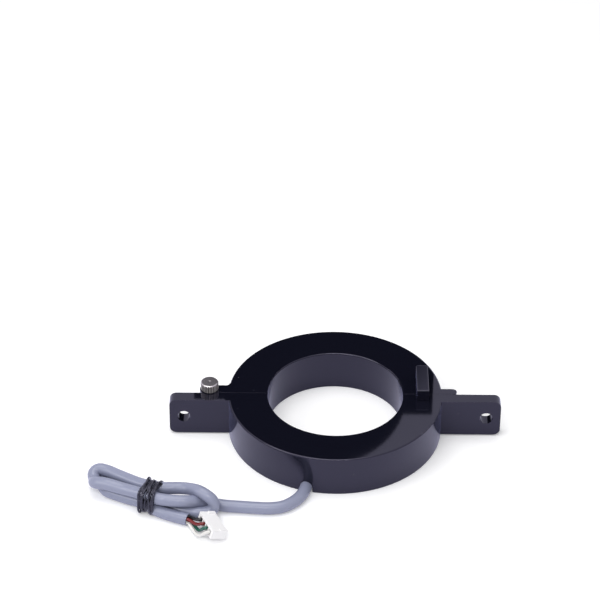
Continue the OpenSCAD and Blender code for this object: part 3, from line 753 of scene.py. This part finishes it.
def on_housing(along, across, up):
    """A place on the connector, from its corner, in millimetres."""
    level = along * math.cos(HOUSING_TILT) + up * math.sin(HOUSING_TILT)
    fall = (HOUSING_LENGTH - along) * math.sin(HOUSING_TILT)
    return (HOUSING_AT[0] + level * math.cos(HOUSING_ANGLE) + across * math.sin(HOUSING_ANGLE),
            HOUSING_AT[1] + level * math.sin(HOUSING_ANGLE) - across * math.cos(HOUSING_ANGLE),
            HOUSING_LIFT + fall + up * math.cos(HOUSING_TILT))


class SENSOR_OT_stage(bpy.types.Operator):
    """Sets up the camera, the floor, the dark card and the softboxes"""

    bl_idname = "sensor.stage"
    bl_label = "Stage"

    def execute(self, context):
        studio = context.scene.sensor_studio
        self.add_camera(context, studio)
        self.add_floor()
        self.add_dark_card()
        self.add_lights(context, studio)
        context.scene.view_settings.view_transform = "Standard"
        return {"FINISHED"}

    def add_camera(self, context, studio):
        """The camera at the photograph's viewpoint."""
        camera = bpy.data.cameras.new("photo_camera")
        camera.lens = studio.lens
        camera.sensor_fit = "HORIZONTAL"
        camera.sensor_width = SENSOR_WIDTH
        camera.clip_start = 0.01
        placed = bpy.data.objects.new("photo_camera", camera)
        placed.location = CAMERA_PLACE
        placed.rotation_euler = CAMERA_TURN
        context.scene.collection.objects.link(placed)
        context.scene.camera = placed

    def add_floor(self):
        """A white floor that keeps the object's shadow, slightly blue where gloss mirrors it."""
        mesh = bpy.data.meshes.new("floor")
        signs = ((-1, -1), (1, -1), (1, 1), (-1, 1))
        corners = [(x * FLOOR_REACH, y * FLOOR_REACH, FLOOR_LEVEL) for x, y in signs]
        mesh.from_pydata(corners, [], [(0, 1, 2, 3)])
        floor = new_piece("floor", mesh)
        material, tree, shader = plain_material("floor_paper")
        set_values(shader, Roughness=0.9, Specular_IOR_Level=0.0)
        direct, mirrored = seen_rays(tree)
        paper = blend_colours(tree, mirrored, PAPER, PAPER_MIRRORED)
        tree.links.new(paper, shader.inputs["Base Color"])
        strength = calculate(tree, "MULTIPLY", direct, FLOOR_GLOW)
        glow = add_node(tree, "ShaderNodeEmission", {"Color": paper, "Strength": strength})
        both = add_node(tree, "ShaderNodeAddShader", {0: shader.outputs[0], 1: glow.outputs[0]})
        tree.links.new(both.outputs[0], tree.nodes["Material Output"].inputs["Surface"])
        mesh.materials.append(material)

    def add_dark_card(self):
        """A dark arched card behind the ring, seen only in reflections; its sizes are in millimetres."""
        left, right, foot, back = -55.0, 39.5, 1.0, 52.0
        left_top, right_top, middle, centre, radius = 58.0, 65.0, -7.0, 56.5, 36.0
        steps = 24
        first = math.asin((right_top - centre) / radius)
        last = math.pi - math.asin((left_top - centre) / radius)
        outline = [(left, back, foot), (right, back, foot), (right, back, right_top)]
        outline += [(middle + radius * math.cos(a), back, centre + radius * math.sin(a))
                    for a in (first + (last - first) * k / steps for k in range(steps + 1))]
        outline += [(left, back, left_top)]
        mesh = bpy.data.meshes.new("dark_card")
        mesh.from_pydata([tuple(c * MM for c in p) for p in outline], [], [tuple(range(len(outline)))])
        card = new_piece("dark_card", mesh)
        material, _, shader = plain_material("dark_card")
        set_values(shader, Base_Color=(0.006, 0.006, 0.01), Roughness=0.9, Specular_IOR_Level=0.0)
        mesh.materials.append(material)
        card.visible_camera = False
        card.visible_diffuse = False
        card.visible_shadow = False

    def add_lights(self, context, studio):
        """The light from all round and the softboxes."""
        world = bpy.data.worlds.new("studio")
        world.use_nodes = True
        tree = world.node_tree
        background = tree.nodes["Background"].inputs
        direct, mirrored = seen_rays(tree)
        tree.links.new(blend_colours(tree, mirrored, WORLD, WORLD_MIRRORED), background["Color"])
        tree.links.new(blend_values(tree, direct, studio.surround, 1.0), background["Strength"])
        context.scene.world = world
        for name, level, width, depth, place, aim in SOFTBOXES:
            light = bpy.data.lights.new(name, "AREA")
            light.energy = getattr(studio, level)
            light.shape = "RECTANGLE"
            light.size = width
            light.size_y = depth
            lamp = bpy.data.objects.new(name, light)
            lamp.location = place
            lamp.rotation_euler = (Vector(aim) - Vector(place)).to_track_quat("-Z", "Y").to_euler()
            context.scene.collection.objects.link(lamp)


class SENSOR_OT_wound_tie(bpy.types.Operator):
    """Winds the black strand that holds the hank together"""

    bl_idname = "sensor.wound_tie"
    bl_label = "Wound Tie"

    def execute(self, context):
        sizes = context.scene.sensor_sizes
        black = tuple(context.scene.sensor_colours.tie)
        material = moulded_material("tie_plastic", black, shaded(black, 2.0), 3000.0, (0.03, 0.1), 0.01 * MM)
        set_values(material.node_tree.nodes["Principled BSDF"], IOR=1.62, Specular_Tint=(0.8, 0.8, 1.0))
        half = sizes.tie_strand / 2
        tie = grow("wound_tie", bpy.data.meshes.new("wound_tie"), tie_tree(), {
            "Turns": sizes.tie_turns, "Strand Diameter": sizes.tie_strand, "Band Width": sizes.tie_width,
            "Half Width": TIE_HALF_WIDTH + half, "Half Height": TIE_HALF_HEIGHT + half,
            "Squareness": TIE_SQUARENESS, "Wander": TIE_WANDER, "Seed": TIE_SEED, "Place": TIE_PLACE,
            "Turn": (0.0, 0.0, TIE_TURN), "Floor": half + TIE_CLEARANCE - TIE_PLACE[2], "Material": material})
        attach(tie, "front_half")
        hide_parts("cable_tie")
        return {"FINISHED"}


class SENSOR_OT_insulated_wires(bpy.types.Operator):
    """Lays the four insulated wires from the cut jacket to the connector"""

    bl_idname = "sensor.insulated_wires"
    bl_label = "Insulated Wires"

    def execute(self, context):
        sizes = context.scene.sensor_sizes
        tree = wire_tree()
        for way, (node, slot, tone, place, via) in enumerate(WIRES):
            base = next(m["base_color"] for m in frame["record"]["materials"] if m["slot"] == slot)
            # Painted shade: the tone darkens the red and green wires below their slot's colour; it lightens
            # the white one.
            base = shaded(base, tone)
            material = moulded_material(slot, base, shaded(base, 0.75), 3200.0, (0.22, 0.36), 0.01 * MM)
            route = smooth_route(self.wire_route(way, place, via), WIRE_SPACING)
            mesh = bpy.data.meshes.new(node + "_line")
            mesh.from_pydata(route, [(i, i + 1) for i in range(len(route) - 1)], [])
            wire = grow(node + "_run", mesh, tree,
                        {"Wire Diameter": sizes.wire_diameter, "Material": material})
            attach(wire, "front_half")
            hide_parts(node)
        return {"FINISHED"}

    def wire_route(self, way, place, via):
        """The wire's points: from inside the jacket, out, over its via point and into its way."""
        out = Vector((math.cos(TAIL_ANGLE), math.sin(TAIL_ANGLE), 0.0))
        side = Vector((-out.y, out.x, 0.0))
        start = Vector(TAIL_END) + WIRE_STEP * (place[0] * side + Vector((0.0, 0.0, place[1])))
        across = WAY_FIRST + way * WAY_PITCH
        return [start - WIRE_INSIDE * out, start, start + WIRE_BOW * out, via,
                on_housing(-WIRE_BOW, across, WAY_HEIGHT), on_housing(CRIMP_AT, across, WAY_HEIGHT)]


class SENSOR_OT_signal_cable(bpy.types.Operator):
    """Lays the grey cable from the ring through its folds to the cut end"""

    bl_idname = "sensor.signal_cable"
    bl_label = "Signal Cable"

    def execute(self, context):
        sizes = context.scene.sensor_sizes
        centres = smooth_route(CABLE_ROUTE, CABLE_STEP)
        radius = sizes.cable_diameter / 2
        rings = []
        for i, (centre, (along, across, up)) in enumerate(zip(centres, frames_along(centres))):
            distance = i * CABLE_STEP
            rings.append((centre, across, up, radius * self.swell(distance / MM), distance))
        rings = rings[:-1] + self.cut_end(rings[-1], along, sizes)
        cable = new_piece("signal_cable", tube_mesh("signal_cable", rings, CABLE_SIDES, "jacket"))
        cable.data.materials.append(jacket_material())
        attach(cable, "front_half")
        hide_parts("cable_lead", "cable_hank")
        return {"FINISHED"}

    def swell(self, distance):
        """Share of the full radius at a distance along the cable, in millimetres."""
        return 1.0 - sum(share * math.exp(-((distance - at) / reach) ** 2)
                         for at, reach, share in JACKET_KINKS)

    def cut_end(self, last, along, sizes):
        """Rings for the cut jacket: a slightly rounded rim and a hollow that the wires leave."""
        centre, across, up, radius, distance = last
        inner = radius - sizes.jacket_wall
        profile = [(-0.15 * MM, radius), (-0.04 * MM, radius - 0.04 * MM), (0.0, radius - 0.15 * MM),
                   (0.0, inner + 0.1 * MM), (-0.1 * MM, inner), (-0.9 * MM, inner)]
        return [(centre + shift * along, across, up, r, distance + shift) for shift, r in profile]


class SENSOR_OT_ring_finish(bpy.types.Operator):
    """Finishes both ring halves, their filling and the magnetic core"""

    bl_idname = "sensor.ring_finish"
    bl_label = "Ring Finish"

    def execute(self, context):
        finish_nodes(case_material(), "case_plastic")
        finish_nodes(resin_material(), "potting_resin")
        finish_nodes(steel_strip_material(), "core_steel")
        return {"FINISHED"}


class SENSOR_OT_metal_finish(bpy.types.Operator):
    """Finishes the thumbscrew, its insert, the hinge pin and the contacts"""

    bl_idname = "sensor.metal_finish"
    bl_label = "Metal Finish"

    def execute(self, context):
        pin_low, pin_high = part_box("hinge_pin")
        pin_axis = (pin_low + pin_high) / 2
        finish_nodes(knurled_head_material(), "nickel_plate")
        finish_nodes(turned_metal_material("pin_steel", (0.42, 0.42, 0.43), (0.62, 0.62, 0.63), 0.1 * MM,
                                           (0.2, 0.34), pin_axis), "pin_steel")
        finish_nodes(turned_metal_material("insert_brass", (0.5, 0.34, 0.12), (0.78, 0.58, 0.26), 0.12 * MM,
                                           (0.22, 0.36), SCREW_AXIS), "insert_brass")
        finish_nodes(turned_metal_material("contact_tin", (0.5, 0.5, 0.5), (0.68, 0.68, 0.68), 0.4 * MM,
                                           (0.28, 0.42), (0.0, 0.0, 0.0)), "contact_tin")
        return {"FINISHED"}


class SENSOR_OT_circuit_finish(bpy.types.Operator):
    """Finishes the sensing element and the small circuit inside the front half"""

    bl_idname = "sensor.circuit_finish"
    bl_label = "Circuit Finish"

    def execute(self, context):
        finish_nodes(moulded_material("chip_plastic", (0.014, 0.014, 0.015), (0.024, 0.024, 0.025), 2600.0,
                                      (0.5, 0.65), 0.02 * MM), "chip_plastic")
        finish_nodes(moulded_material("board_laminate", (0.015, 0.11, 0.05), (0.02, 0.15, 0.07), 1500.0,
                                      (0.25, 0.4), 0.02 * MM), "board_laminate")
        finish_nodes(moulded_material("capacitor_ceramic", (0.3, 0.17, 0.08), (0.38, 0.22, 0.11), 2000.0,
                                      (0.4, 0.55), 0.02 * MM), "capacitor_ceramic")
        return {"FINISHED"}


class SENSOR_OT_connector_finish(bpy.types.Operator):
    """Finishes the white connector housing"""

    bl_idname = "sensor.connector_finish"
    bl_label = "Connector Finish"

    def execute(self, context):
        nylon = tuple(context.scene.sensor_colours.nylon)
        finish_nodes(moulded_material("connector_plastic", nylon, shaded(nylon, 0.95), 1800.0,
                                      (0.32, 0.46), 0.012 * MM), "connector_plastic")
        return {"FINISHED"}


class SENSOR_PT_panel(bpy.types.Panel):
    """Lists the steps and the values that they use"""

    bl_idname = "SENSOR_PT_panel"
    bl_label = "Split Ring Sensor"
    bl_space_type = "VIEW_3D"
    bl_region_type = "UI"
    bl_category = "Sensor"

    def draw(self, context):
        """Draws a button for each step and a box for each group of values."""
        for step in STEPS:
            self.layout.operator(step.bl_idname)
        for group in (context.scene.sensor_sizes, context.scene.sensor_colours, context.scene.sensor_studio):
            box = self.layout.box()
            for name in group.__annotations__:
                box.prop(group, name)


STEPS = (SENSOR_OT_stage, SENSOR_OT_wound_tie, SENSOR_OT_insulated_wires, SENSOR_OT_signal_cable,
         SENSOR_OT_ring_finish, SENSOR_OT_metal_finish, SENSOR_OT_circuit_finish, SENSOR_OT_connector_finish)
GROUPS = {"sensor_sizes": SensorSizes, "sensor_colours": SensorColours, "sensor_studio": SensorStudio}


def register():
    """Makes the values, the steps and the panel known to Blender."""
    for group in GROUPS.values():
        bpy.utils.register_class(group)
    for name, group in GROUPS.items():
        setattr(bpy.types.Scene, name, PointerProperty(type=group))
    for step in STEPS:
        bpy.utils.register_class(step)
    bpy.utils.register_class(SENSOR_PT_panel)


def unregister():
    """Takes them away again, in the opposite order."""
    bpy.utils.unregister_class(SENSOR_PT_panel)
    for step in reversed(STEPS):
        bpy.utils.unregister_class(step)
    for name, group in reversed(GROUPS.items()):
        delattr(bpy.types.Scene, name)
        bpy.utils.unregister_class(group)


def main():
    """Builds the picture in order."""
    register()
    bpy.ops.sensor.stage()
    bpy.ops.sensor.wound_tie()
    bpy.ops.sensor.insulated_wires()
    bpy.ops.sensor.signal_cable()
    bpy.ops.sensor.ring_finish()
    bpy.ops.sensor.metal_finish()
    bpy.ops.sensor.circuit_finish()
    bpy.ops.sensor.connector_finish()


if __name__ == "__main__":
    main()
